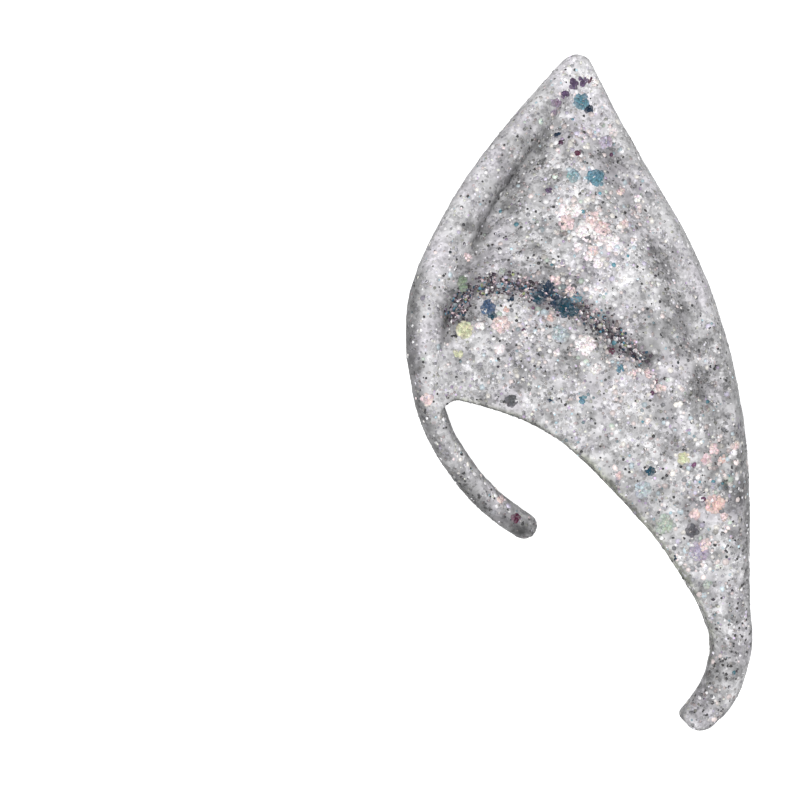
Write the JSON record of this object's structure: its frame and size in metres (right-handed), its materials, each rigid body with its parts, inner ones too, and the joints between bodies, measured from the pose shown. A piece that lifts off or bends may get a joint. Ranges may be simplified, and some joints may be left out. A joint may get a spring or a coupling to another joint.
{
  "type": "elf ear tip",
  "caption": "Glittered soft latex elf ear tip: a pointed hollow shell open below, with a rolled front rim ending in a slim hook, a fold across its face and a curled tail.",
  "frame": {"origin": "under the middle of the ear's box, on the surface that it lies on", "axes": "+Y to the point, +X from the front rim to the rear edge, +Z from the back to the face"},
  "size_m": [0.0614, 0.12, 0.0172],
  "materials": {
    "glitter_latex": "glossy silver-grey latex, thick with fine silver glitter and scattered larger coloured flakes"
  },
  "bodies": {
    "root": {"ear_tip": "glitter_latex"}
  },
  "joints": []
}
